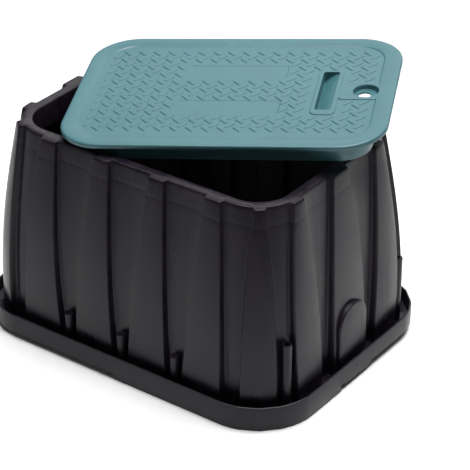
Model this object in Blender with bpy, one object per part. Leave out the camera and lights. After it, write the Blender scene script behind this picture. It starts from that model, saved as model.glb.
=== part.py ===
# In-ground valve box with a drop-in tread lid, shown with the lid lying askew on the open rim.
# The box is one moulding: a rim, bulging corrugated walls, a shelf and an outer lip.
import bpy
import bmesh
from math import asin, cos, radians, sin

MM = 0.001

# Heights of the box above the ground
RIM_HEIGHT = 305 * MM
BAND_FOOT = 270 * MM            # the straight band under the rim ends here, inside
FULL_BULGE_HEIGHT = 40 * MM     # below this the walls run straight down
SHELF_TOP = 16 * MM
SHELF_UNDERSIDE = 12 * MM
LIP_HEIGHT = 35.5 * MM

# Plan sizes, as half lengths along X and Y with a corner radius
OPENING = (204 * MM, 134.75 * MM, 45.6 * MM)
WALL_AT_RIM = (219 * MM, 150 * MM, 61 * MM)
WALL_AT_FOOT = (237.5 * MM, 173.5 * MM, 65 * MM)
LIP_OUTSIDE = (264 * MM, 198 * MM, 90 * MM)
LIP_THICKNESS = 3.8 * MM
WALL_THICKNESS = 4.5 * MM

# Corrugation lobes: centre along the wall and half width, each at the rim and at the foot
LOBE_DEPTH_AT_RIM = 7.5 * MM
LOBE_DEPTH_AT_FOOT = 10.5 * MM
LOBE_STEP_RUN = 1.7 * MM
END_MIDDLE_LOBE = ((0, 0), (17 * MM, 36 * MM))
END_OUTER_LOBE = ((93 * MM, 90.8 * MM), (10 * MM, 26.8 * MM))
CORNER_LOBE = ((radians(53), radians(53)), (7.2 * MM, 21.6 * MM))
LOBE_PITCH = 90 * MM
LONG_LOBE = (12 * MM, 31.2 * MM)

# Heights where the wall has a ring of points, from below the rim to above the shelf
WALL_LEVELS = [level * MM for level in (285, 262, 235, 205, 172, 136, 98, 64, 40)]

# Steps under the lip, which interlock with a second box turned half round
LIP_STEP_LONG = 7.7 * MM
LIP_STEP_END = 11 * MM
LIP_STEP_MIDDLE = 6.8 * MM
LIP_STEP_NOTCH = 10 * MM

# Break-away arch panels in the end walls
ARCH_HALF_WIDTH = 33 * MM
ARCH_FOOT = 20 * MM
ARCH_TOP = 114 * MM
ARCH_GAP = 0.4 * MM
ARCH_MIDDLE = 3 * MM             # to the +Y side on the +X wall, to the -Y side on the other
ARCH_PANEL_FACE = 252.5 * MM
ARCH_PANEL_BACK = 238.6 * MM
ARCH_CUT = (238.2 * MM, 258 * MM)

# Small uprights on the shelf
POST_RADIUS = 6.5 * MM
POST_TOP = 64 * MM
POST_OUTWARD = 6 * MM
TUBE_RADIUS = 7.2 * MM
TUBE_BORE = 3.8 * MM
TUBE_TOP = 115.5 * MM
TUBE_FLOOR = 24 * MM
TUBE_ANGLE = radians(21.5)
TUBE_OUTWARD = 4.5 * MM

# Lid, in its own frame: the middle of its top face is the origin, X along its length
LID_PLAN = (218.5 * MM, 151.15 * MM, 63.4 * MM)
LID_PLATE = 6.5 * MM
LID_EDGE_BEVEL = 1.5 * MM
LID_DEPTH = 34 * MM
SKIRT_INSET = 22 * MM
SKIRT_THICKNESS = 3 * MM
RIB_THICKNESS = 3 * MM
RIB_DEPTH = 24 * MM
CROSS_RIBS = (-100 * MM, 0, 80 * MM)
SLOT_CENTRE = (127 * MM, -1 * MM)
SLOT_PLAN = (11 * MM, 52.4 * MM, 4 * MM)
SLOT_DEPTH = 16 * MM
SLOT_FLOOR_RISE = 12 * MM
POCKET_WALL = 3 * MM
BOLT_CENTRE = (179 * MM, -1 * MM)
BOLT_BOSS_RADIUS = 20.5 * MM
BOLT_RECESS_RADIUS = 17 * MM
BOLT_RECESS_DEPTH = 9 * MM
BOLT_FLOOR = 3 * MM
BOLT_HOLE_RADIUS = 7.5 * MM

# Places: the box stands back a little, so that box and overhanging lid centre on the origin
BOX_PLACE = (0, -32 * MM, 0)
LID_OVER_BOX = (18.1 * MM, 51.9 * MM, 340.5 * MM)
LID_TURN = (radians(4.28), radians(-3.14), radians(26.26))

OVERSHOOT = 5 * MM               # how far cutters run past what they cut
CURVE_STEPS = 10
SMOOTH_UNDER = radians(30)


def plastic(name, colour, roughness):
    material = bpy.data.materials.new(name)
    material.use_nodes = True
    shader = material.node_tree.nodes['Principled BSDF']
    shader.inputs['Base Color'].default_value = (*colour, 1)
    shader.inputs['Roughness'].default_value = roughness
    shader.inputs['Metallic'].default_value = 0
    material.diffuse_color = (*colour, 1)
    return material


def new_object(name, mesh, material=None):
    mesh.shade_smooth()
    mesh.set_sharp_from_angle(angle=SMOOTH_UNDER)
    item = bpy.data.objects.new(name, mesh)
    bpy.context.scene.collection.objects.link(item)
    if material:
        mesh.materials.append(material)
    return item


def combine(target, tool, operation):
    """Adds a Boolean to target; the tool rides along in target's own frame, hidden."""
    tool.parent = target
    tool.hide_render = True
    tool.display_type = 'WIRE'
    boolean = target.modifiers.new(tool.name, 'BOOLEAN')
    boolean.operation = operation
    boolean.object = tool
    boolean.solver = 'EXACT'


def prism(name, outline, bottom, top):
    """Upright prism over a counter-clockwise outline of (x, y) points."""
    shape = bmesh.new()
    low = [shape.verts.new((x, y, bottom)) for x, y in outline]
    high = [shape.verts.new((x, y, top)) for x, y in outline]
    shape.faces.new(low[::-1])
    shape.faces.new(high)
    for index, corner in enumerate(low):
        after = (index + 1) % len(low)
        shape.faces.new((corner, low[after], high[after], high[index]))
    mesh = bpy.data.meshes.new(name)
    shape.to_mesh(mesh)
    shape.free()
    return new_object(name, mesh)


def block(name, x_range, y_range, z_range):
    corners = [(x_range[0], y_range[0]), (x_range[1], y_range[0]),
               (x_range[1], y_range[1]), (x_range[0], y_range[1])]
    return prism(name, corners, *z_range)


def circle(centre, radius, steps=24):
    turns = [radians(360 * step / steps) for step in range(steps)]
    return [(centre[0] + radius * cos(turn), centre[1] + radius * sin(turn)) for turn in turns]


def rounded_rectangle(plan, centre=(0, 0), steps=CURVE_STEPS):
    half_x, half_y, radius = plan
    points = []
    for quarter, (way_x, way_y) in enumerate(((1, 1), (-1, 1), (-1, -1), (1, -1))):
        for step in range(steps + 1):
            turn = radians(90 * quarter + 90 * step / steps)
            points.append((centre[0] + way_x * (half_x - radius) + radius * cos(turn),
                           centre[1] + way_y * (half_y - radius) + radius * sin(turn)))
    return points


def grown(plan, distance):
    return tuple(size + distance for size in plan)


def between(start, end, share):
    return start + (end - start) * share


# The box's outline is one quarter, from the middle of an end wall to the middle of a long wall
def lobe_columns(kind, centre, widths, sides=(-1, 1)):
    """Points across a lobe: foot, edge, middle, edge, foot."""
    columns = []
    if -1 in sides:
        columns += [(kind, centre, widths, -1, False), (kind, centre, widths, -1, True)]
    columns.append((kind, centre, widths, 0, True))
    if 1 in sides:
        columns += [(kind, centre, widths, 1, True), (kind, centre, widths, 1, False)]
    return columns


def plain_column(kind, at_rim, at_foot):
    return (kind, (at_rim, at_foot), (0, 0), 0, False)


def quarter_columns():
    def fixed(place):
        return (place, place)

    columns = lobe_columns('end', *END_MIDDLE_LOBE, sides=(1,))
    columns.append(plain_column('end', 50 * MM, 51 * MM))
    columns += lobe_columns('end', *END_OUTER_LOBE)
    columns.append(plain_column('corner', radians(25), radians(17)))
    columns.append(plain_column('corner', radians(35), radians(25)))
    columns += lobe_columns('corner', *CORNER_LOBE)
    columns.append(plain_column('corner', radians(70), radians(77)))
    columns.append(plain_column('corner', radians(80), radians(84)))
    columns.append(plain_column('corner', radians(90), radians(90)))
    columns += lobe_columns('long', fixed(1.5 * LOBE_PITCH), LONG_LOBE)[::-1]
    columns.append(plain_column('long', LOBE_PITCH, LOBE_PITCH))
    columns += lobe_columns('long', fixed(0.5 * LOBE_PITCH), LONG_LOBE)[::-1]
    columns.append(plain_column('long', 0, 0))
    return columns


def column_point(column, plan, share, lobe_depth, narrowing):
    """Where a column meets a ring; share runs from 0 at the rim to 1 at the foot."""
    kind, centre, widths, side, raised = column
    widening = share if kind == 'long' else sin(radians(90) * share)
    half_x, half_y, radius = plan
    reference = [between(top, foot, share) for top, foot in zip(WALL_AT_RIM, WALL_AT_FOOT)]
    place = between(*centre, widening)
    reach = 0
    if side:
        reach = between(*widths, widening) - narrowing + (0 if raised else LOBE_STEP_RUN)
    out = lobe_depth if raised else 0
    if kind == 'long':
        x = (place + side * reach) * (half_x - radius) / (reference[0] - reference[2])
        return x, half_y + out
    if kind == 'end':
        distance = place + side * reach
        straight = reference[1] - reference[2]
        if distance <= straight:
            return half_x + out, distance * (half_y - radius) / straight
        turn = asin((distance - straight) / reference[2])
    else:
        turn = place + side * reach / reference[2]
    return (half_x - radius + (radius + out) * cos(turn),
            half_y - radius + (radius + out) * sin(turn))


def ring(plan, share, lobe_depth=0, narrowing=0):
    """The whole outline, counter-clockwise from the middle of the +X end wall."""
    quarter = [column_point(column, plan, share, lobe_depth, narrowing) for column in COLUMNS]
    back = quarter[::-1]
    points = quarter + [(-x, y) for x, y in back[1:]]
    points += [(-x, -y) for x, y in quarter[1:]]
    points += [(x, -y) for x, y in back[1:-1]]
    return points


def wall_ring(height, inset=0):
    """The corrugated wall at a height: it bulges outwards below the rim, fast at first."""
    share = min((RIM_HEIGHT - height) / (RIM_HEIGHT - FULL_BULGE_HEIGHT), 1)
    bulge = sin(radians(90) * share)
    plan = [between(top, foot, bulge) for top, foot in zip(WALL_AT_RIM[:2], WALL_AT_FOOT[:2])]
    plan.append(between(WALL_AT_RIM[2], WALL_AT_FOOT[2], share))
    depth = between(LOBE_DEPTH_AT_RIM, LOBE_DEPTH_AT_FOOT, bulge)
    narrowing = 0.9 * inset
    return [(x, y, height) for x, y in ring(grown(plan, -inset), share, depth, narrowing)]


def flat_ring(plan, height, share):
    return [(x, y, height) for x, y in ring(plan, share)]


def box_shell():
    """Rings from the rim's inner edge over the outside and back up the inside, closed."""
    lip_inside = grown(LIP_OUTSIDE, -LIP_THICKNESS)
    rings = [flat_ring(OPENING, RIM_HEIGHT, 0), wall_ring(RIM_HEIGHT)]
    rings += [wall_ring(level) for level in WALL_LEVELS]
    rings.append(wall_ring(SHELF_TOP))
    rings.append(flat_ring(lip_inside, SHELF_TOP, 1))
    rings.append(flat_ring(lip_inside, LIP_HEIGHT, 1))
    rings.append(flat_ring(LIP_OUTSIDE, LIP_HEIGHT, 1))
    rings.append(flat_ring(LIP_OUTSIDE, 0, 1))
    rings.append(flat_ring(lip_inside, 0, 1))
    rings.append(flat_ring(lip_inside, SHELF_UNDERSIDE, 1))
    rings.append(wall_ring(SHELF_UNDERSIDE, WALL_THICKNESS))
    inner_levels = [level for level in WALL_LEVELS[::-1] if level < BAND_FOOT]
    rings += [wall_ring(level, WALL_THICKNESS) for level in inner_levels]
    rings.append(wall_ring(BAND_FOOT, WALL_THICKNESS))
    rings.append(flat_ring(OPENING, BAND_FOOT, 0))
    shape = bmesh.new()
    rows = [[shape.verts.new(point) for point in points] for points in rings]
    for index, row in enumerate(rows):
        following = rows[(index + 1) % len(rows)]
        for place, corner in enumerate(row):
            after = (place + 1) % len(row)
            shape.faces.new((corner, following[place], following[after], row[after]))
    mesh = bpy.data.meshes.new('box_body')
    shape.to_mesh(mesh)
    shape.free()
    return mesh


def arch_outline(middle, gap=0):
    """Arch in (y, z): straight sides under a half circle, counter-clockwise seen from +X."""
    half_width = ARCH_HALF_WIDTH - gap
    spring = ARCH_TOP - ARCH_HALF_WIDTH
    steps = 16
    points = [(middle - half_width, ARCH_FOOT + gap), (middle + half_width, ARCH_FOOT + gap)]
    for step in range(steps + 1):
        turn = radians(180 * step / steps)
        points.append((middle + half_width * cos(turn), spring + half_width * sin(turn)))
    return points


def arch_slab(name, outline, x_low, x_high):
    shape = bmesh.new()
    near = [shape.verts.new((x_high, y, z)) for y, z in outline]
    far = [shape.verts.new((x_low, y, z)) for y, z in outline]
    shape.faces.new(near)
    shape.faces.new(far[::-1])
    for index, corner in enumerate(near):
        after = (index + 1) % len(near)
        shape.faces.new((corner, far[index], far[after], near[after]))
    mesh = bpy.data.meshes.new(name)
    shape.to_mesh(mesh)
    shape.free()
    return mesh


def cut_lip_steps(box):
    """Raises parts of the lip's lower edge; each cut repeats half round the box."""
    outside = 280 * MM
    under = -OVERSHOOT
    cuts = {
        'long_step': ((-240 * MM, 0), (-210 * MM, -150 * MM), LIP_STEP_LONG),
        'end_step': ((240 * MM, outside), (30 * MM, 210 * MM), LIP_STEP_END),
        'middle_step': ((240 * MM, outside), (-35 * MM, 31 * MM), LIP_STEP_MIDDLE),
        'end_notch': ((240 * MM, outside), (-42 * MM, -34 * MM), LIP_STEP_NOTCH),
    }
    for name, (x_range, y_range, height) in cuts.items():
        for half_turn, way in (('front', 1), ('back', -1)):
            xs = sorted(way * x for x in x_range)
            ys = sorted(way * y for y in y_range)
            combine(box, block(f'{name}_{half_turn}', xs, ys, (under, height)), 'DIFFERENCE')


def add_uprights(box):
    """Posts in the long walls' recesses and four bored tubes beside the corner lobes."""
    root = SHELF_UNDERSIDE + 1 * MM
    for way in (-1, 1):
        for step in (-1, 0, 1):
            centre = (step * LOBE_PITCH, way * (WALL_AT_FOOT[1] + POST_OUTWARD))
            post = prism(f'post_{way}_{step}', circle(centre, POST_RADIUS), root, POST_TOP)
            combine(box, post, 'UNION')
    half_x, half_y, radius = WALL_AT_FOOT
    reach = radius + TUBE_OUTWARD
    for way_x in (-1, 1):
        for way_y in (-1, 1):
            centre = (way_x * (half_x - radius + reach * cos(TUBE_ANGLE)),
                      way_y * (half_y - radius + reach * sin(TUBE_ANGLE)))
            tube = prism(f'tube_{way_x}_{way_y}', circle(centre, TUBE_RADIUS), root, TUBE_TOP)
            combine(box, tube, 'UNION')
            bore = prism(f'bore_{way_x}_{way_y}', circle(centre, TUBE_BORE, 16),
                         TUBE_FLOOR, TUBE_TOP + OVERSHOOT)
            combine(box, bore, 'DIFFERENCE')


def make_box(material):
    box = new_object('box_body', box_shell(), material)
    for side, way in (('right', 1), ('left', -1)):
        hole = arch_outline(way * ARCH_MIDDLE)
        x_low, x_high = sorted(way * x for x in ARCH_CUT)
        cutter = new_object(f'arch_{side}', arch_slab(f'arch_{side}', hole, x_low, x_high))
        combine(box, cutter, 'DIFFERENCE')
    cut_lip_steps(box)
    add_uprights(box)
    box.location = BOX_PLACE
    return box


def make_knockouts(material):
    for side, way in (('right', 1), ('left', -1)):
        outline = arch_outline(way * ARCH_MIDDLE, ARCH_GAP)
        x_low, x_high = sorted((way * ARCH_PANEL_BACK, way * ARCH_PANEL_FACE))
        name = f'end_knockout_{side}'
        panel = new_object(name, arch_slab(name, outline, x_low, x_high), material)
        panel.location = BOX_PLACE


def bevelled_plate(plan, thickness, bevel):
    """Flat plate under z = 0 with a small slope round its top edge."""
    rims = [(grown(plan, -bevel), 0), (plan, -bevel), (plan, -thickness)]
    shape = bmesh.new()
    rows = [[shape.verts.new((x, y, z)) for x, y in rounded_rectangle(outline)]
            for outline, z in rims]
    shape.faces.new(rows[0])
    shape.faces.new(rows[-1][::-1])
    for upper, lower in zip(rows, rows[1:]):
        for place, corner in enumerate(upper):
            after = (place + 1) % len(upper)
            shape.faces.new((corner, lower[place], lower[after], upper[after]))
    mesh = bpy.data.meshes.new('lid')
    shape.to_mesh(mesh)
    shape.free()
    return mesh


def add_lid_underside(lid):
    skirt_plan = grown(LID_PLAN, -SKIRT_INSET)
    hollow_plan = grown(skirt_plan, -SKIRT_THICKNESS)
    inside_plate = -0.5 * LID_PLATE
    skirt = prism('skirt', rounded_rectangle(skirt_plan), -LID_DEPTH, inside_plate)
    combine(lid, skirt, 'UNION')
    hollow = prism('skirt_hollow', rounded_rectangle(hollow_plan), -LID_DEPTH - OVERSHOOT, -LID_PLATE)
    combine(lid, hollow, 'DIFFERENCE')
    half = RIB_THICKNESS / 2
    reach_x = hollow_plan[0] + half
    reach_y = hollow_plan[1] + half
    combine(lid, block('rib_long', (-reach_x, SLOT_CENTRE[0]), (-half, half),
                       (-RIB_DEPTH, inside_plate)), 'UNION')
    for number, x in enumerate(CROSS_RIBS):
        combine(lid, block(f'rib_cross_{number}', (x - half, x + half), (-reach_y, reach_y),
                           (-RIB_DEPTH + 1 * MM, inside_plate)), 'UNION')
    pocket = prism('slot_pocket', rounded_rectangle(grown(SLOT_PLAN, POCKET_WALL), SLOT_CENTRE),
                   -SLOT_DEPTH - POCKET_WALL, inside_plate)
    combine(lid, pocket, 'UNION')
    boss = prism('bolt_boss', circle(BOLT_CENTRE, BOLT_BOSS_RADIUS, 32),
                 -BOLT_RECESS_DEPTH - BOLT_FLOOR, inside_plate)
    combine(lid, boss, 'UNION')


def cut_lid_openings(lid):
    slot = prism('finger_slot', rounded_rectangle(SLOT_PLAN, SLOT_CENTRE, 4), -SLOT_DEPTH, OVERSHOOT)
    for corner in slot.data.vertices:
        if corner.co.z < 0:
            across = (corner.co.x - SLOT_CENTRE[0] + SLOT_PLAN[0]) / (2 * SLOT_PLAN[0])
            corner.co.z += SLOT_FLOOR_RISE * across
    combine(lid, slot, 'DIFFERENCE')
    recess = prism('bolt_recess', circle(BOLT_CENTRE, BOLT_RECESS_RADIUS, 32),
                   -BOLT_RECESS_DEPTH, OVERSHOOT)
    combine(lid, recess, 'DIFFERENCE')
    hole = prism('bolt_hole', circle(BOLT_CENTRE, BOLT_HOLE_RADIUS),
                 -LID_DEPTH - OVERSHOOT, OVERSHOOT)
    combine(lid, hole, 'DIFFERENCE')


def make_lid(material):
    lid = new_object('lid', bevelled_plate(LID_PLAN, LID_PLATE, LID_EDGE_BEVEL), material)
    add_lid_underside(lid)
    cut_lid_openings(lid)
    lid.rotation_mode = 'ZYX'
    lid.location = [box + over for box, over in zip(BOX_PLACE, LID_OVER_BOX)]
    lid.rotation_euler = LID_TURN


for leftover in list(bpy.data.objects):
    bpy.data.objects.remove(leftover)
COLUMNS = quarter_columns()
BLACK = plastic('black_moulding', (0.012, 0.012, 0.014), 0.45)
TEAL = plastic('teal_moulding', (0.045, 0.16, 0.175), 0.4)
make_box(BLACK)
make_knockouts(BLACK)
make_lid(TEAL)
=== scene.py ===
from math import pi, radians
import bpy
import numpy as np
from mathutils import Euler, Matrix, Vector


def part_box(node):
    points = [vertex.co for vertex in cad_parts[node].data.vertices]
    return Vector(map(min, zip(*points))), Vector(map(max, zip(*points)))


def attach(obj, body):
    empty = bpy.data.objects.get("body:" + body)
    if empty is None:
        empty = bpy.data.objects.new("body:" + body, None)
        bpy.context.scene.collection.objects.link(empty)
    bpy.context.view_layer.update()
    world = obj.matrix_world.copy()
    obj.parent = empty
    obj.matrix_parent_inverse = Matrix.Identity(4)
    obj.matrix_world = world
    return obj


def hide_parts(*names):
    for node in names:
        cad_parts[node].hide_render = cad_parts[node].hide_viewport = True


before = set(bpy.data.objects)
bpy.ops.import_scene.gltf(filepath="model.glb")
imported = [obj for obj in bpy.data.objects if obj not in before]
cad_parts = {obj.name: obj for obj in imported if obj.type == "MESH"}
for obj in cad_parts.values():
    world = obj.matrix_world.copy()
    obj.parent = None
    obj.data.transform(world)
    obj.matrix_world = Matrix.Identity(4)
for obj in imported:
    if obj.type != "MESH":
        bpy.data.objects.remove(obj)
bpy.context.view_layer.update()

# A rectangular in-ground valve box with a dull teal tread lid lying askew on its open rim.
# Everything is in metres. The box is worked out round its own middle and then moved to it.
boxLow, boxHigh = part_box("box_body")
boxMiddle = np.array([(boxLow.x + boxHigh.x) / 2, (boxLow.y + boxHigh.y) / 2, 0.0])
rimHeight = boxHigh.z
mm = 0.001


def gridFaces(rows, columns, wrapRows):
    # Quads between neighbouring points; columns always close on themselves, rows only when asked
    step = np.arange(rows if wrapRows else rows - 1)[:, None]
    place = np.arange(columns)[None, :]
    after = (place + 1) % columns
    below = (step + 1) % rows
    quads = np.stack([step * columns + place, below * columns + place,
                      below * columns + after, step * columns + after], axis=-1)
    return quads.reshape(-1, 4)


def ringMesh(name, rings, wrapRows=False, smoothUnder=40):
    # rings is rows x columns x 3; open ends are closed with one flat face each
    rows, columns = rings.shape[:2]
    faces = gridFaces(rows, columns, wrapRows).tolist()
    if not wrapRows:
        faces.append(list(range(columns)))
        faces.append(list(range((rows - 1) * columns, rows * columns))[::-1])
    mesh = bpy.data.meshes.new(name)
    mesh.from_pydata(rings.reshape(-1, 3).tolist(), [], faces)
    mesh.shade_smooth()
    mesh.set_sharp_from_angle(angle=radians(smoothUnder))
    return mesh


def addPiece(name, mesh):
    # A mesh as an object at the origin
    piece = bpy.data.objects.new(name, mesh)
    bpy.context.scene.collection.objects.link(piece)
    return piece


def applyTools(piece, tools, smoothUnder=40):
    # Runs each Boolean on the piece in turn, keeps the result as its mesh and drops the tools
    toolPieces = []
    for number, (operation, toolMesh) in enumerate(tools):
        tool = addPiece(f"tool_{number}", toolMesh)
        toolPieces.append(tool)
        change = piece.modifiers.new(f"change_{number}", "BOOLEAN")
        change.operation = operation
        change.object = tool
        change.solver = "MANIFOLD"
    bpy.context.view_layer.update()
    shape = piece.evaluated_get(bpy.context.evaluated_depsgraph_get())
    result = bpy.data.meshes.new_from_object(shape)
    piece.modifiers.clear()
    piece.data = result
    for tool in toolPieces:
        bpy.data.objects.remove(tool)
    result.shade_smooth()
    result.set_sharp_from_angle(angle=radians(smoothUnder))


def roundedOutline(plan, cornerSteps=20, sideSteps=10):
    # Counter-clockwise rounded rectangle: a quarter arc at each corner, points along each side
    halfX, halfY, radius = plan
    turns = np.linspace(0, pi / 2, cornerSteps)
    pieces = []
    for quarter, (wayX, wayY) in enumerate(((1, 1), (-1, 1), (-1, -1), (1, -1))):
        angle = turns + quarter * pi / 2
        arc = np.stack([wayX * (halfX - radius) + radius * np.cos(angle),
                        wayY * (halfY - radius) + radius * np.sin(angle)], axis=-1)
        pieces.append(arc)
    corners = [arc[0] for arc in pieces[1:]] + [pieces[0][0]]
    share = np.linspace(0, 1, sideSteps + 1)[1:-1, None]
    points = []
    for arc, nextStart in zip(pieces, corners):
        points += [arc, arc[-1] + (nextStart - arc[-1]) * share]
    return np.concatenate(points)


def carriedProfile(plan, profile, **steps):
    # A profile of (inset, height) carried round a rounded rectangle
    rings = []
    for inset, height in profile:
        inner = (plan[0] - inset, plan[1] - inset, max(plan[2] - inset, 0.0006))
        outline = roundedOutline(inner, **steps)
        rings.append(np.column_stack([outline, np.full(len(outline), height)]))
    return np.stack(rings)


def turned(centre, profile, steps=40):
    # A profile of (radius, height) turned about an upright axis
    angle = np.linspace(0, 2 * pi, steps, endpoint=False)
    radius, height = np.array(profile, float).T
    return np.stack([centre[0] + radius[:, None] * np.cos(angle),
                     centre[1] + radius[:, None] * np.sin(angle),
                     np.repeat(height[:, None], steps, axis=1)], axis=-1)


def blockMesh(name, low, high):
    # An upright block between two opposite corners
    x0, y0, z0 = low
    x1, y1, z1 = high
    ring = np.array([[x0, y0], [x1, y0], [x1, y1], [x0, y1]])
    rings = np.stack([np.column_stack([ring, np.full(4, z)]) for z in (z1, z0)])
    return ringMesh(name, rings)


# The box is a corrugated shell on a grid of heights and columns
boxBody = {
    "opening": (0.204, 0.13475, 0.0456),      # half length, half width, corner radius
    "wallAtRim": (0.219, 0.150, 0.061),
    "wallAtFoot": (0.2375, 0.1735, 0.065),
    "lipOutside": (0.264, 0.198, 0.090),
    "lipThickness": 0.0038,
    "lipHeight": 0.0355,
    "wallThickness": 0.0045,
    "shelfTop": 0.016,
    "shelfUnderside": 0.012,
    "bandFoot": 0.270,                        # inside, the straight band ends here
    "fullBulge": 0.040,                       # below this height the walls run straight down
    "witnessLine": 0.280,
    "lobeDepth": (0.0075, 0.0105),            # at the rim and at the foot
    "stepRun": 0.0017,
    # lobes: centre and half width, each at the rim and at the foot
    "endMiddleLobe": ((0, 0), (0.017, 0.036)),
    "endOuterLobe": ((0.093, 0.0908), (0.010, 0.0268)),
    "cornerLobe": ((radians(53), radians(53)), (0.0072, 0.0216)),
    "longLobe": (0.012, 0.0312),
    "lobePitch": 0.090,
    "archHalfWidth": 0.033,
    "archFoot": 0.020,
    "archTop": 0.114,
    "archMiddle": 0.003,
    "archGap": 0.0004,
    "archCut": (0.258, 0.2382),
    "panelBack": 0.2386,
    "panelFace": 0.2525,
    "postRadius": 0.0065,
    "postTop": 0.064,
    "postOutward": 0.006,
    "tubeRadius": 0.0072,
    "tubeBore": 0.0038,
    "tubeTop": 0.1155,
    "tubeFloor": 0.024,
    "tubeAngle": radians(21.5),
    "tubeOutward": 0.0045,
    # what is missing from the lip's lower edge on one half: x range, y range, height
    "lipSteps": (((-0.2401, -0.0003), (-0.2100, -0.1800), 0.0077),
                 ((0.240, 0.280), (0.030, 0.210), 0.011),
                 ((0.240, 0.280), (-0.035, 0.031), 0.0068),
                 ((0.240, 0.280), (-0.042, -0.034), 0.010)),
}


def lobeColumns(zone, centres, halfWidths, sides, turnedRound=False):
    # Points across one lobe: (zone, centre at rim, at foot, half widths, side, beyond, raised).
    # The raise follows a soft step between the recess and the lobe's face.
    run = boxBody["stepRun"]
    step = [(1.9, 0), (1.4, 0.03), (1.0, 0.14), (0.5, 0.5), (0.1, 0.86), (-0.35, 0.975), (-1.2, 1.0)]
    columns = []
    if -1 in sides:
        columns += [(zone, *centres, *halfWidths, -1, far * run, up) for far, up in step]
    columns.append((zone, *centres, 0, 0, 0, 0, 1))
    if 1 in sides:
        columns += [(zone, *centres, *halfWidths, 1, far * run, up) for far, up in step[::-1]]
    return columns[::-1] if turnedRound else columns


def flatColumn(zone, atRim, atFoot):
    # One column that is not raised: its place at the rim and at the foot
    return [(zone, atRim, atFoot, 0, 0, 0, 0, 0)]


def boxColumns(box):
    # The columns of one quarter, from the middle of an end wall to the middle of a long wall
    end, corner, long = 0, 1, 2
    pitch = box["lobePitch"]
    columns = lobeColumns(end, *box["endMiddleLobe"], sides=(1,))
    columns += flatColumn(end, 0.046, 0.048) + flatColumn(end, 0.054, 0.053)
    columns += lobeColumns(end, *box["endOuterLobe"], sides=(-1, 1))
    for atRim, atFoot in ((21, 14), (26, 18), (31, 22), (36, 25.5)):
        columns += flatColumn(corner, radians(atRim), radians(atFoot))
    columns += lobeColumns(corner, *box["cornerLobe"], sides=(-1, 1))
    for atRim, atFoot in ((66, 75), (72, 79), (78, 83), (84, 87), (90, 90)):
        columns += flatColumn(corner, radians(atRim), radians(atFoot))
    for middle in (1.5 * pitch, 0.5 * pitch):
        columns += lobeColumns(long, (middle, middle), box["longLobe"], (-1, 1), turnedRound=True)
        recess = middle - 0.5 * pitch
        if recess:
            columns += flatColumn(long, recess + 0.006, recess + 0.003)
            columns += flatColumn(long, recess - 0.006, recess - 0.003)
    columns += flatColumn(long, 0.006, 0.003) + flatColumn(long, 0, 0)
    return np.array(columns, float).T


def boxRings(box, rows):
    # rows: (half x, half y, corner radius, height, share down the wall, lobe depth, narrowing).
    # A column keeps its place along the outline; its raise pushes it out along the outline's normal.
    # Lobes widen downwards: evenly on the long sides, as a quarter sine on the ends and corners.
    zone, placeRim, placeFoot, halfRim, halfFoot, side, beyond, rise = boxColumns(box)
    halfX, halfY, radius, height, share, depth, narrowing = np.array(rows, float).T[:, :, None]
    atRim, atFoot = box["wallAtRim"], box["wallAtFoot"]
    refX, refY, refR = [top + (foot - top) * share for top, foot in zip(atRim, atFoot)]
    widening = np.where(zone == 2, share, np.sin(pi / 2 * share))
    place = placeRim + (placeFoot - placeRim) * widening
    reach = side * (halfRim + (halfFoot - halfRim) * widening - narrowing + beyond)
    out = depth * rise
    distance = place + reach
    straight = refY - refR
    past = np.arcsin(np.clip((distance - straight) / refR, 0, 1))
    turn = np.where(zone == 1, place + reach / refR, past)
    x = halfX - radius + (radius + out) * np.cos(turn)
    y = halfY - radius + (radius + out) * np.sin(turn)
    onEnd = (zone == 0) & (distance <= straight)
    x = np.where(onEnd, halfX + out, x)
    y = np.where(onEnd, distance * (halfY - radius) / straight, y)
    onLong = zone == 2
    x = np.where(onLong, distance * (halfX - radius) / (refX - refR), x)
    y = np.where(onLong, halfY + out, y)
    quarter = np.stack([x, y], axis=-1)
    back = quarter[:, ::-1]
    outline = np.concatenate([quarter, back[:, 1:] * (-1, 1), quarter[:, 1:] * (-1, -1),
                              back[:, 1:-1] * (1, -1)], axis=1)
    upright = np.repeat(height, outline.shape[1], axis=1)[..., None]
    return np.concatenate([outline, upright], axis=-1) + boxMiddle


def wallRow(box, height, inset=0.0, planHeight=None):
    # The wall bulges out below the rim as a quarter sine of the depth below it
    level = height if planHeight is None else planHeight
    share = min((rimHeight - level) / (rimHeight - box["fullBulge"]), 1)
    bulge = np.sin(pi / 2 * share)
    atRim, atFoot = box["wallAtRim"], box["wallAtFoot"]
    halfX = atRim[0] + (atFoot[0] - atRim[0]) * bulge - inset
    halfY = atRim[1] + (atFoot[1] - atRim[1]) * bulge - inset
    radius = atRim[2] + (atFoot[2] - atRim[2]) * share - inset
    depth = box["lobeDepth"][0] + (box["lobeDepth"][1] - box["lobeDepth"][0]) * bulge
    return (halfX, halfY, radius, height, share, depth, 0.9 * max(inset, 0))


def plainRow(plan, inset, height, share):
    # A row without lobes: a rounded rectangle drawn in by the inset
    return (plan[0] - inset, plan[1] - inset, plan[2] - inset, height, share, 0, 0)


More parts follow.
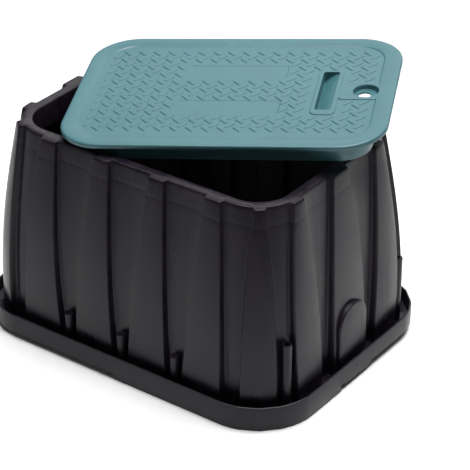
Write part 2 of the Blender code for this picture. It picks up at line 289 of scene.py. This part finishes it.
def boxShellMesh(box):
    # Rows from the rim down the outside, over the lip, and back up the inside, closed on themselves
    opening, lip, thick = box["opening"], box["lipOutside"], box["lipThickness"]
    top, shelf, lipTop = rimHeight, box["shelfTop"], box["lipHeight"]
    under, wall = box["shelfUnderside"], box["wallThickness"]
    rows = [plainRow(opening, 0, top - 0.0022, 0), plainRow(opening, -0.0005, top - 0.0008, 0),
            plainRow(opening, -0.0018, top, 0)]
    rows += [wallRow(box, top - drop, inset, top) for inset, drop in
             ((0.0020, 0), (0.0006, 0.0005), (0, 0.0018))]
    line = box["witnessLine"]
    above = np.linspace(top - 0.004, line + 0.0018, 6)
    below = np.linspace(line - 0.0018, shelf + 0.004, 34)
    rows += [wallRow(box, height) for height in above]
    rows += [wallRow(box, line + 0.0005, 0.0001), wallRow(box, line - 0.0006, 0.0001)]
    rows += [wallRow(box, height) for height in below]
    rows += [wallRow(box, shelf + 0.0012, -0.0008), wallRow(box, shelf, -0.0030)]
    rows += [plainRow(lip, thick + 0.002, shelf, 1), plainRow(lip, thick + 0.0006, shelf + 0.0008, 1),
             plainRow(lip, thick, shelf + 0.0025, 1), plainRow(lip, thick - 0.0003, lipTop - 0.0022, 1),
             plainRow(lip, thick - 0.0008, lipTop - 0.0006, 1), plainRow(lip, thick - 0.0018, lipTop, 1),
             plainRow(lip, 0.0018, lipTop, 1), plainRow(lip, 0.0006, lipTop - 0.0006, 1),
             plainRow(lip, 0, lipTop - 0.0022, 1), plainRow(lip, 0, 0.0012, 1),
             plainRow(lip, 0.0004, 0.0003, 1), plainRow(lip, 0.0010, 0, 1),
             plainRow(lip, thick, 0, 1), plainRow(lip, thick, under, 1)]
    rows.append(wallRow(box, under, wall))
    rows += [wallRow(box, height, wall) for height in np.linspace(0.040, box["bandFoot"] - 0.004, 16)]
    rows += [wallRow(box, box["bandFoot"], wall), plainRow(opening, -0.001, box["bandFoot"], 0),
             plainRow(opening, 0, box["bandFoot"] + 0.001, 0)]
    return ringMesh("box_moulding", boxRings(box, rows), wrapRows=True)


def archMesh(name, box, way, sections):
    # Straight sides under a half circle in (y, z); sections: (x, inset) from the outer face inwards.
    # The outline is turned half round, with x, for the other end wall.
    angle = np.linspace(0, pi, 28)
    rings = []
    for x, inset in sections:
        half, foot = box["archHalfWidth"] - inset, box["archFoot"] + min(inset, box["archGap"])
        spring = box["archTop"] - box["archHalfWidth"]
        arc = np.column_stack([half * np.cos(angle), spring + half * np.sin(angle)])
        outline = np.concatenate([[[-half, foot], [half, foot]], arc]) + (box["archMiddle"], 0)
        rings.append(np.column_stack([np.full(len(outline), x), outline]))
    rings = np.stack(rings) * (way, way, 1) + boxMiddle
    return ringMesh(name, rings, smoothUnder=50)


def makeBox(box, material):
    # The shell, less arches, lip steps and bores, plus posts and tubes
    piece = addPiece("box_moulding", boxShellMesh(box))
    tools = []
    for way in (1, -1):
        cut = [(x, 0) for x in box["archCut"]]
        tools.append(("DIFFERENCE", archMesh("arch_hole", box, way, cut)))
        for xs, ys, height in box["lipSteps"]:
            low = np.array([min(way * x for x in xs), min(way * y for y in ys), -0.005]) + boxMiddle
            high = np.array([max(way * x for x in xs), max(way * y for y in ys), height]) + boxMiddle
            tools.append(("DIFFERENCE", blockMesh("lip_step", low, high)))
        for step in (-1, 0, 1):
            centre = (step * box["lobePitch"],
                      way * (box["wallAtFoot"][1] + box["postOutward"])) + boxMiddle[:2]
            radius, top = box["postRadius"], box["postTop"]
            profile = [(0.4 * radius, top), (radius - 0.0008, top), (radius, top - 0.0008),
                       (radius, 0.013)]
            tools.append(("UNION", ringMesh("post", turned(centre, profile, 32))))
    halfX, halfY, corner = box["wallAtFoot"]
    reach = corner + box["tubeOutward"]
    for wayX in (-1, 1):
        for wayY in (-1, 1):
            centre = (wayX * (halfX - corner + reach * np.cos(box["tubeAngle"])),
                      wayY * (halfY - corner + reach * np.sin(box["tubeAngle"]))) + boxMiddle[:2]
            radius, top, bore = box["tubeRadius"], box["tubeTop"], box["tubeBore"]
            outside = [(0.5 * radius, top), (radius - 0.0008, top), (radius, top - 0.0008),
                       (radius, 0.013)]
            inside = [(bore + 0.004, top + 0.0035), (bore, top - 0.0005), (bore, box["tubeFloor"])]
            tools.append(("UNION", ringMesh("tube", turned(centre, outside, 32))))
            tools.append(("DIFFERENCE", ringMesh("tube_bore", turned(centre, inside, 24))))
    applyTools(piece, tools)
    finishPiece(piece, material, "box", "box_body")


def makePipePanel(box, name, node, way, material):
    # The arch outline, drawn in by the gap, with a rounded outer edge
    face, gap = box["panelFace"], box["archGap"]
    edge = [(0.0, 0.0026), (0.0004, 0.0012), (0.0013, 0.0003), (0.0026, 0.0)]    # (drop, inset)
    sections = [(face - drop, gap + inset) for drop, inset in edge] + [(box["panelBack"], gap)]
    piece = addPiece(name, archMesh(name, box, way, sections))
    finishPiece(piece, material, "box", node)


# The lid is made in its own frame: middle of its top face, X along its length
lid = {
    "middle": (0.0181, 0.0519, 0.3405),       # over the middle of the box's foot
    "turn": (radians(4.28), radians(-3.14), radians(26.26)),
    "plan": (0.2185, 0.15115, 0.0634),
    "plate": 0.0065,
    "fieldInset": 0.0245,
    "fieldDrop": 0.0013,
    "skirtInset": 0.022,
    "skirtThickness": 0.003,
    "depth": 0.034,
    "ribDepth": 0.024,
    "slotMiddle": (0.127, -0.001),
    "slotPlan": (0.011, 0.0524, 0.004),
    "slotDepth": (0.016, 0.004),              # along its left side and along its right side
    "boltMiddle": (0.179, -0.001),
    "boltRecess": (0.017, 0.0070),            # radius, depth
    "boltHoleShift": -0.0025,
    "boltHole": 0.0082,
    "boltFloor": 0.002,
    "padDrop": 0.0007,
    "slotPad": ((0.0, -0.0035), (0.0170, 0.0605)),    # from the slot's middle, half sizes
    "boltPad": ((-0.010, 0.001), (0.0265, 0.0232)),   # from the recess's middle, half sizes
    "namePads": (((-0.0045, 0.053), (0.0705, 0.018)), ((-0.003, -0.0455), (0.072, 0.018))),
    "ribHalf": 0.0015,
    "crossRibs": (-0.100, 0, 0.080),
}


def placeOnBox(mesh):
    # Turns the mesh by the lid's turn, then moves it over the box's middle
    turn = Euler(lid["turn"], "ZYX").to_matrix().to_4x4()
    mesh.transform(Matrix.Translation(Vector(lid["middle"]) + Vector(boxMiddle)) @ turn)


def lidShellMesh(values):
    # One profile carried round: field, border, edge, underside, skirt and back under the plate
    drop, plate, depth = values["fieldDrop"], values["plate"], values["depth"]
    field, skirt, thick = values["fieldInset"], values["skirtInset"], values["skirtThickness"]
    profile = [(0.061, -drop), (field + 0.0016, -drop), (field + 0.0005, -drop + 0.0001),
               (field, -drop + 0.0004), (field - 0.0005, -0.0003), (field - 0.0012, 0),
               (0.0048, 0), (0.0030, 0), (0.0018, -0.0002), (0.0009, -0.0006), (0.0003, -0.0013),
               (0, -0.0022), (0, -plate + 0.0009), (0.0003, -plate + 0.0002), (0.0010, -plate),
               (skirt - 0.001, -plate), (skirt, -plate - 0.0012), (skirt + 0.0002, -depth + 0.0016),
               (skirt + 0.0006, -depth + 0.0004), (skirt + 0.0012, -depth),
               (skirt + thick - 0.0004, -depth), (skirt + thick, -depth + 0.0006),
               (skirt + thick, -plate - 0.0008), (skirt + thick + 0.0008, -plate), (0.061, -plate)]
    return ringMesh("lid_moulding", carriedProfile(values["plan"], profile))


def scoopMesh(values):
    # The finger slot: upright sides and a floor that sweeps from deep on the left to shallow
    plan = values["slotPlan"]
    deep, shallow = values["slotDepth"]
    rings = []
    for scale, lift in ((1, None), (1, 0.0016), (0.95, 0.0004), (0.86, 0), (0.6, 0), (0.3, 0)):
        outline = roundedOutline(plan, 10, 12) * scale
        across = (outline[:, 0] + plan[0]) / (2 * plan[0])
        floor = -shallow - (deep - shallow) * (1 - across) ** 1.5
        height = np.full(len(outline), 0.004) if lift is None else floor + lift
        rings.append(np.column_stack([outline + values["slotMiddle"], height]))
    return ringMesh("scoop", np.stack(rings))


def padMesh(name, middle, half, top, radius):
    # A low pad with a rounded top edge
    plan = (half[0], half[1], radius)
    profile = [(0.0032, top), (0.0018, top), (0.0008, top - 0.0001), (0.0003, top - 0.0005),
               (0, -lid["fieldDrop"] - 0.001)]
    rings = carriedProfile(plan, profile, cornerSteps=12, sideSteps=6)
    rings[..., :2] += middle
    return ringMesh(name, rings)


def raisedPads(values):
    # (middle, half sizes) of the pads round the slot and the bolt: each opening's middle plus a shift
    pads = []
    for opening, pad in (("slotMiddle", "slotPad"), ("boltMiddle", "boltPad")):
        shift, size = values[pad]
        pads.append((tuple(place + move for place, move in zip(values[opening], shift)), size))
    return pads


def makeLid(values, material):
    # A shell, plus pads, ribs, pocket and cup, less the blank panels, slot, recess and hole
    piece = addPiece("lid_moulding", lidShellMesh(values))
    plan, plate, drop = values["plan"], values["plate"], values["fieldDrop"]
    slotX, slotY = values["slotMiddle"]
    boltX, boltY = values["boltMiddle"]
    recessRadius, recessDepth = values["boltRecess"]
    insideX = plan[0] - values["skirtInset"] - 0.0015
    insideY = plan[1] - values["skirtInset"] - 0.0015
    half = values["ribHalf"]
    slotPad, boltPad = raisedPads(values)
    tools = [("UNION", padMesh("slot_pad", *slotPad, 0, 0.009)),
             ("UNION", padMesh("bolt_pad", *boltPad, 0, 0.006))]
    floor = drop + values["padDrop"]
    for middle, size in values["namePads"]:
        rings = carriedProfile((*size, 0.004), [(-0.0004, 0.001), (-0.0004, 0.0004 - drop),
                                                (0.0003, 0.0003 - floor), (0.0009, -floor),
                                                (0.0024, -floor)])
        tools.append(("DIFFERENCE", ringMesh("blank_pad", rings + (*middle, 0))))
    tools.append(("UNION", blockMesh("long_rib", (-insideX, -half, -values["ribDepth"]),
                                     (slotX, half, -plate / 2))))
    for x in values["crossRibs"]:
        tools.append(("UNION", blockMesh("cross_rib", (x - half, -insideY, -values["ribDepth"] + mm),
                                         (x + half, insideY, -plate / 2))))
    pocketPlan = tuple(size + 0.003 for size in values["slotPlan"])
    pocketBottom = -values["slotDepth"][0] - 0.003
    pocket = carriedProfile(pocketPlan, [(0, -plate / 2), (0, pocketBottom + 0.001),
                                         (0.001, pocketBottom)], cornerSteps=10, sideSteps=4)
    pocket[..., :2] += (slotX, slotY)
    tools.append(("UNION", ringMesh("pocket", pocket)))
    cup = -recessDepth - values["boltFloor"]
    tools.append(("UNION", ringMesh("cup", turned((boltX, boltY), [
        (recessRadius + 0.0035, -plate / 2), (recessRadius + 0.0035, cup + 0.001),
        (recessRadius + 0.0025, cup)]))))
    tools.append(("DIFFERENCE", scoopMesh(values)))
    tools.append(("DIFFERENCE", ringMesh("recess", turned((boltX, boltY), [
        (recessRadius + 0.0024, 0.002), (recessRadius + 0.0004, -0.0004), (recessRadius, -0.0014),
        (recessRadius - 0.0002, -recessDepth + 0.001), (recessRadius - 0.0012, -recessDepth)]))))
    tools.append(("DIFFERENCE", ringMesh("hole", turned((boltX + values["boltHoleShift"], boltY), [
        (values["boltHole"], 0.002), (values["boltHole"], -values["depth"])]))))
    applyTools(piece, tools, 35)
    placeOnBox(piece.data)
    finishPiece(piece, material, "lid", "lid")


treadBars = {
    "pitch": 0.0212,
    "halfLength": 0.0082,
    "halfWidth": 0.0020,
    "rise": 0.0009,
    "fromBorder": 0.011,
    "fromPads": 0.0045,
}


def insideRounded(points, plan, margin):
    # True where a point is at least margin inside a rounded rectangle
    outer = np.abs(points) - (np.array(plan[:2]) - plan[2])
    return np.hypot(*np.maximum(outer, 0).T) + np.minimum(outer.max(axis=1), 0) < plan[2] - margin


def barCentres(values, bars):
    # Two square lattices, one set half a pitch over from the other, with the bars crossed
    pitch, margin = bars["pitch"], bars["fromPads"]
    steps = np.arange(-12, 13) * pitch
    across, up = [axis.ravel() for axis in np.meshgrid(steps, steps)]
    lattice = np.column_stack([across, up])
    centres = np.concatenate([lattice, lattice + pitch / 2])
    angle = np.repeat([-pi / 4, pi / 4], len(lattice))
    inset = values["fieldInset"]
    fieldPlan = tuple(size - inset for size in values["plan"])
    keep = insideRounded(centres, fieldPlan, bars["fromBorder"])
    pads = raisedPads(values) + list(values["namePads"])
    for middle, size in pads:
        plan = (size[0] + margin, size[1] + margin, margin)
        keep &= ~insideRounded(centres - middle, plan, 0)
    return centres[keep], angle[keep]


def makeTreadBars(values, bars, material):
    # One low bar with tapered ends, copied to every centre: foot ring, shoulder ring, crown ring
    along = np.array([1.0, 0.8, 0.3, -0.3, -0.8, -1.0, -1.0, -0.8, -0.3, 0.3, 0.8, 1.0])
    aside = np.array([0.35, 0.85, 1.0, 1.0, 0.85, 0.35, -0.35, -0.85, -1.0, -1.0, -0.85, -0.35])
    base, rise = -values["fieldDrop"], bars["rise"]
    rings = []
    for shrink, height in ((0.0013, rise), (0.0007, 0.75 * rise), (0.0, 0.0), (0.0, -0.0004)):
        rings.append(np.column_stack([along * (bars["halfLength"] - shrink),
                                      aside * (bars["halfWidth"] - shrink),
                                      np.full(12, base + height)]))
    shape = np.stack(rings).reshape(-1, 3)
    centres, angle = barCentres(values, bars)
    turnX = np.stack([np.cos(angle), -np.sin(angle)], axis=-1)
    turnY = np.stack([np.sin(angle), np.cos(angle)], axis=-1)
    x = turnX @ shape[:, :2].T + centres[:, :1]
    y = turnY @ shape[:, :2].T + centres[:, 1:]
    points = np.stack([x, y, np.broadcast_to(shape[:, 2], x.shape)], axis=-1).reshape(-1, 3)
    sides = gridFaces(len(rings), 12, False)
    shift = (np.arange(len(centres)) * len(shape))[:, None, None]
    faces = (sides[None] + shift).reshape(-1, 4).tolist()
    crown = (np.arange(12)[None] + shift[:, :, 0]).tolist()
    foot = (np.arange(36, 48)[::-1][None] + shift[:, :, 0]).tolist()
    mesh = bpy.data.meshes.new("lid_tread_bars")
    mesh.from_pydata(points.tolist(), [], faces + crown + foot)
    mesh.shade_smooth()
    mesh.set_sharp_from_angle(angle=radians(50))
    placeOnBox(mesh)
    piece = addPiece("lid_tread_bars", mesh)
    print("tread bars:", len(centres))
    finishPiece(piece, material, "lid")


def addNode(tree, kind, at, **values):
    # Sets a value on the node where it has such a property, and else on its socket
    node = tree.nodes.new(kind)
    node.location = at
    for name, value in values.items():
        if hasattr(node, name):
            setattr(node, name, value)
        else:
            node.inputs[name].default_value = value
    return node


def mouldedSkinGroup():
    # Colour: a base clouded towards a bloom colour, plus scuffing with painted sheen that grows towards
    # the rim. Roughness: cloudy, rubbed in streaks.
    # Height: fine grain over a slow ripple, as a large injection moulding has.
    group = bpy.data.node_groups.new("mouldedSkin", "ShaderNodeTree")
    face = group.interface
    for name, kind, value in (("Base", "NodeSocketColor", (0.1, 0.1, 0.1, 1)),
                              ("Bloom", "NodeSocketColor", (0.2, 0.2, 0.2, 1)),
                              ("Bloom Amount", "NodeSocketFloat", 0.3),
                              ("Smooth Roughness", "NodeSocketFloat", 0.35),
                              ("Rubbed Roughness", "NodeSocketFloat", 0.5),
                              ("Grain Scale", "NodeSocketFloat", 900.0),
                              ("Scuff Sheen From Height", "NodeSocketFloat", 0.2),
                              ("Scuff Sheen Amount", "NodeSocketFloat", 0.0),
                              ("Ripple", "NodeSocketFloat", 0.3)):
        socket = face.new_socket(name, in_out="INPUT", socket_type=kind)
        socket.default_value = value
    face.new_socket("Colour", in_out="OUTPUT", socket_type="NodeSocketColor")
    face.new_socket("Roughness", in_out="OUTPUT", socket_type="NodeSocketFloat")
    face.new_socket("Height", in_out="OUTPUT", socket_type="NodeSocketFloat")
    link = group.links.new
    given = addNode(group, "NodeGroupInput", (-900, 0))
    result = addNode(group, "NodeGroupOutput", (700, 0))
    place = addNode(group, "ShaderNodeTexCoord", (-900, 300))
    stretch = addNode(group, "ShaderNodeMapping", (-700, 300))
    stretch.inputs["Scale"].default_value = (1, 1, 0.16)
    clouds = addNode(group, "ShaderNodeTexNoise", (-500, 450), Scale=9.0, Detail=5.0, Roughness=0.6)
    streaks = addNode(group, "ShaderNodeTexNoise", (-500, 200), Scale=70.0, Detail=4.0, Roughness=0.65)
    grain = addNode(group, "ShaderNodeTexNoise", (-500, -50), Detail=2.0, Roughness=0.5)
    ripple = addNode(group, "ShaderNodeTexNoise", (-500, -300), Scale=26.0, Detail=2.0, Roughness=0.4)
    link(place.outputs["Object"], stretch.inputs["Vector"])
    link(place.outputs["Object"], clouds.inputs["Vector"])
    link(stretch.outputs["Vector"], streaks.inputs["Vector"])
    link(place.outputs["Object"], grain.inputs["Vector"])
    link(place.outputs["Object"], ripple.inputs["Vector"])
    link(given.outputs["Grain Scale"], grain.inputs["Scale"])
    mask = addNode(group, "ShaderNodeMath", (-280, 350), operation="MULTIPLY")
    link(clouds.outputs["Fac"], mask.inputs[0])
    link(streaks.outputs["Fac"], mask.inputs[1])
    spread = addNode(group, "ShaderNodeMapRange", (-100, 350))
    spread.inputs["From Min"].default_value = 0.16
    spread.inputs["From Max"].default_value = 0.42
    link(mask.outputs["Value"], spread.inputs["Value"])
    amount = addNode(group, "ShaderNodeMath", (80, 420), operation="MULTIPLY")
    # Painted sheen with scuffing: noise patches lighten the colour more the higher they sit, up to the
    # rim
    height = addNode(group, "ShaderNodeSeparateXYZ", (-700, 700))
    link(place.outputs["Object"], height.inputs["Vector"])
    climb = addNode(group, "ShaderNodeMapRange", (-500, 700), **{"To Max": 1.0})
    climb.inputs["From Max"].default_value = 0.31
    link(height.outputs["Z"], climb.inputs["Value"])
    link(given.outputs["Scuff Sheen From Height"], climb.inputs["From Min"])
    scuffSheenNoise = addNode(group, "ShaderNodeTexNoise", (-500, 950), Scale=38.0, Detail=6.0,
                     Roughness=0.7, Distortion=1.4)
    link(place.outputs["Object"], scuffSheenNoise.inputs["Vector"])
    scuffSheenMask = addNode(group, "ShaderNodeMapRange", (-280, 950))
    scuffSheenMask.inputs["From Min"].default_value = 0.50
    scuffSheenMask.inputs["From Max"].default_value = 0.66
    link(scuffSheenNoise.outputs["Fac"], scuffSheenMask.inputs["Value"])
    scuffSheenPatches = addNode(group, "ShaderNodeMath", (-100, 800), operation="MULTIPLY")
    link(scuffSheenMask.outputs["Result"], scuffSheenPatches.inputs[0])
    link(climb.outputs["Result"], scuffSheenPatches.inputs[1])
    scuffSheen = addNode(group, "ShaderNodeMath", (60, 800), operation="MULTIPLY")
    link(scuffSheenPatches.outputs["Value"], scuffSheen.inputs[0])
    link(given.outputs["Scuff Sheen Amount"], scuffSheen.inputs[1])
    pale = addNode(group, "ShaderNodeMath", (80, 600), operation="ADD")
    link(spread.outputs["Result"], pale.inputs[0])
    link(scuffSheen.outputs["Value"], pale.inputs[1])
    link(pale.outputs["Value"], amount.inputs[0])
    link(given.outputs["Bloom Amount"], amount.inputs[1])
    colour = addNode(group, "ShaderNodeMix", (300, 300), data_type="RGBA")
    link(amount.outputs["Value"], colour.inputs["Factor"])
    link(given.outputs["Base"], colour.inputs["A"])
    link(given.outputs["Bloom"], colour.inputs["B"])
    link(colour.outputs["Result"], result.inputs["Colour"])
    rough = addNode(group, "ShaderNodeMapRange", (300, 60))
    link(spread.outputs["Result"], rough.inputs["Value"])
    link(given.outputs["Smooth Roughness"], rough.inputs["To Min"])
    link(given.outputs["Rubbed Roughness"], rough.inputs["To Max"])
    link(rough.outputs["Result"], result.inputs["Roughness"])
    wave = addNode(group, "ShaderNodeMath", (-100, -300), operation="MULTIPLY")
    link(ripple.outputs["Fac"], wave.inputs[0])
    link(given.outputs["Ripple"], wave.inputs[1])
    fine = addNode(group, "ShaderNodeMath", (-100, -100), operation="MULTIPLY")
    fine.inputs[1].default_value = 0.05
    link(grain.outputs["Fac"], fine.inputs[0])
    relief = addNode(group, "ShaderNodeMath", (120, -180), operation="ADD")
    link(wave.outputs["Value"], relief.inputs[0])
    link(fine.outputs["Value"], relief.inputs[1])
    link(relief.outputs["Value"], result.inputs["Height"])
    return group


def mouldedPlastic(name, skin, values):
    # The shared skin feeds colour, roughness and a bump; the rest is uniform
    material = bpy.data.materials.new(name)
    material.use_nodes = True
    tree = material.node_tree
    shader = tree.nodes["Principled BSDF"]
    surface = addNode(tree, "ShaderNodeGroup", (-500, 100))
    surface.node_tree = skin
    for socket, value in values["skin"].items():
        surface.inputs[socket].default_value = value
    bump = addNode(tree, "ShaderNodeBump", (-250, -150))
    bump.inputs["Strength"].default_value = values["bumpStrength"]
    bump.inputs["Distance"].default_value = values["bumpDepth"]
    tree.links.new(surface.outputs["Colour"], shader.inputs["Base Color"])
    tree.links.new(surface.outputs["Roughness"], shader.inputs["Roughness"])
    tree.links.new(surface.outputs["Height"], bump.inputs["Height"])
    tree.links.new(bump.outputs["Normal"], shader.inputs["Normal"])
    shader.inputs["IOR"].default_value = values["ior"]
    return material


blackPlastic = {
    "skin": {"Base": (0.0062, 0.0042, 0.0085, 1), "Bloom": (0.020, 0.0150, 0.022, 1),
             "Bloom Amount": 0.5, "Smooth Roughness": 0.27, "Rubbed Roughness": 0.46,
             "Grain Scale": 1300.0, "Ripple": 0.5,
             # the scuff sheen values set the painted sheen in scuff patches near the rim
             "Scuff Sheen From Height": 0.215, "Scuff Sheen Amount": 1.6},
    "bumpStrength": 0.4,
    "bumpDepth": 0.0010,
    "ior": 1.34,
}
tealPlastic = {
    "skin": {"Base": (0.040, 0.128, 0.148, 1), "Bloom": (0.060, 0.168, 0.186, 1),
             "Bloom Amount": 0.5, "Smooth Roughness": 0.36, "Rubbed Roughness": 0.46,
             "Grain Scale": 1500.0, "Ripple": 0.25},
    "bumpStrength": 0.25,
    "bumpDepth": 0.0008,
    "ior": 1.5,
}


def finishPiece(piece, material, body, node=None):
    # Material, body to ride on, and the node that the piece replaces
    piece.data.materials.clear()
    piece.data.materials.append(material)
    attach(piece, body)
    if node:
        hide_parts(node)


studio = {
    "cameraPlace": (1.5059, -2.0100, 1.6110),          # from the middle of the box's foot
    "right": (0.8097, 0.5868, 0.0027),
    "up": (-0.2990, 0.4086, 0.8624),
    "back": (0.5049, -0.6991, 0.5063),
    "lens": 161.4,
    "shift": (0.0050, -0.0064),
    "worldStrength": 0.12,
    "floorReach": 12,
    "floorColour": (0.92, 0.92, 0.92, 1),
    # name, place, aim, size, power, spread in degrees
    "lights": (("over", (0.10, 0.40, 2.6), (0.00, 0.12, 0), (2.2, 2.2), 30, 68),
               ("back", (-1.1, 2.9, 1.9), (0, 0, 0.2), (3.6, 1.8), 13.5, 120)),
}


def makeCamera(values):
    # The axes are the camera's right, up and back; the place is from the box's foot
    camera = bpy.data.cameras.new("camera")
    camera.lens = values["lens"]
    camera.sensor_width = 36
    camera.shift_x, camera.shift_y = values["shift"]
    camera.clip_end = 20
    holder = bpy.data.objects.new("camera", camera)
    bpy.context.scene.collection.objects.link(holder)
    axes = Matrix((values["right"], values["up"], values["back"])).transposed().to_4x4()
    axes.translation = Vector(values["cameraPlace"]) + Vector(boxMiddle)
    holder.matrix_world = axes
    bpy.context.scene.camera = holder


def addLight(name, place, aim, size, power, spread):
    # A rectangular light at a place, facing its aim
    light = bpy.data.lights.new(name, "AREA")
    light.shape = "RECTANGLE"
    light.size, light.size_y = size
    light.energy = power
    light.spread = radians(spread)
    holder = bpy.data.objects.new(name, light)
    bpy.context.scene.collection.objects.link(holder)
    holder.location = place
    holder.rotation_euler = (Vector(aim) - Vector(place)).to_track_quat("-Z", "Y").to_euler()


def makeStudio(values):
    # An even dim world, a pale floor and two soft lights, one overhead and one behind
    world = bpy.context.scene.world or bpy.data.worlds.new("studio")
    bpy.context.scene.world = world
    world.use_nodes = True
    background = world.node_tree.nodes["Background"]
    background.inputs["Color"].default_value = (1, 1, 1, 1)
    background.inputs["Strength"].default_value = values["worldStrength"]
    floorMesh = bpy.data.meshes.new("floor")
    reach = values["floorReach"]
    floorMesh.from_pydata([(-reach, -reach, 0), (reach, -reach, 0), (reach, reach, 0),
                           (-reach, reach, 0)], [], [(0, 1, 2, 3)])
    floor = addPiece("floor", floorMesh)
    paint = bpy.data.materials.new("pale_floor")
    paint.use_nodes = True
    shader = paint.node_tree.nodes["Principled BSDF"]
    shader.inputs["Base Color"].default_value = values["floorColour"]
    shader.inputs["Roughness"].default_value = 0.9
    floorMesh.materials.append(paint)
    for name, place, aim, size, power, spread in values["lights"]:
        addLight(name, place, aim, size, power, spread)


bpy.context.scene.view_settings.view_transform = "Standard"
skinGroup = mouldedSkinGroup()
blackMoulding = mouldedPlastic("black_moulding", skinGroup, blackPlastic)
tealMoulding = mouldedPlastic("teal_moulding", skinGroup, tealPlastic)
makeBox(boxBody, blackMoulding)
print("box moulding made")
makePipePanel(boxBody, "pipe_panel_right", "end_knockout_right", 1, blackMoulding)
makePipePanel(boxBody, "pipe_panel_left", "end_knockout_left", -1, blackMoulding)
print("pipe panels made")
makeLid(lid, tealMoulding)
print("lid made")
makeTreadBars(lid, treadBars, tealMoulding)
makeCamera(studio)
makeStudio(studio)
print("studio made")
